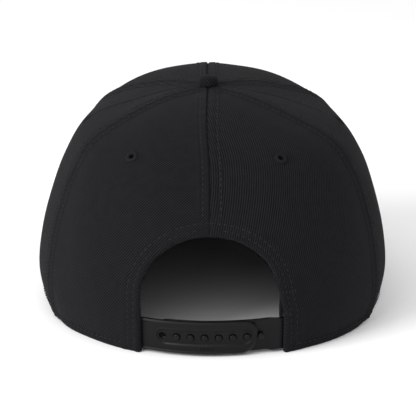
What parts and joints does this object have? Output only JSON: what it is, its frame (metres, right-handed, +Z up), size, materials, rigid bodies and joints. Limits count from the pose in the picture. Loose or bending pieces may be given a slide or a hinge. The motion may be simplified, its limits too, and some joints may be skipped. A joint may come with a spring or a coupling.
{
  "type": "snapback cap",
  "caption": "Black panelled cap with a high domed crown, a flat visor and a plastic snap strap across an arched opening at the back.",
  "frame": {"origin": "on the surface the cap rests on, under the middle of its outer box", "axes": "+X to the wearer's right, +Y to the front where the visor is, +Z up"},
  "size_m": [0.1818, 0.2648, 0.118],
  "materials": {
    "outer_cloth": "matte twill",
    "inner_cloth": "matte plain weave",
    "eyelet_thread": "embroidered thread",
    "strap_plastic": "moulded, satin"
  },
  "bodies": {
    "root": {"crown_front_right": "outer_cloth", "crown_side_right": "outer_cloth", "crown_back_right": "outer_cloth", "crown_back_left": "outer_cloth", "crown_side_left": "outer_cloth", "crown_front_left": "outer_cloth", "visor_top": "outer_cloth", "undervisor": "outer_cloth", "button": "outer_cloth", "eyelet_front_right": "eyelet_thread", "eyelet_side_right": "eyelet_thread", "eyelet_back_right": "eyelet_thread", "eyelet_back_left": "eyelet_thread", "eyelet_side_left": "eyelet_thread", "eyelet_front_left": "eyelet_thread", "sweatband": "inner_cloth", "arch_facing": "inner_cloth", "tape_front_centre": "inner_cloth", "tape_front_right": "inner_cloth", "tape_back_right": "inner_cloth", "tape_back_centre": "inner_cloth", "tape_back_left": "inner_cloth", "tape_front_left": "inner_cloth", "strap_with_holes": "strap_plastic", "strap_with_studs": "strap_plastic"}
  },
  "joints": []
}
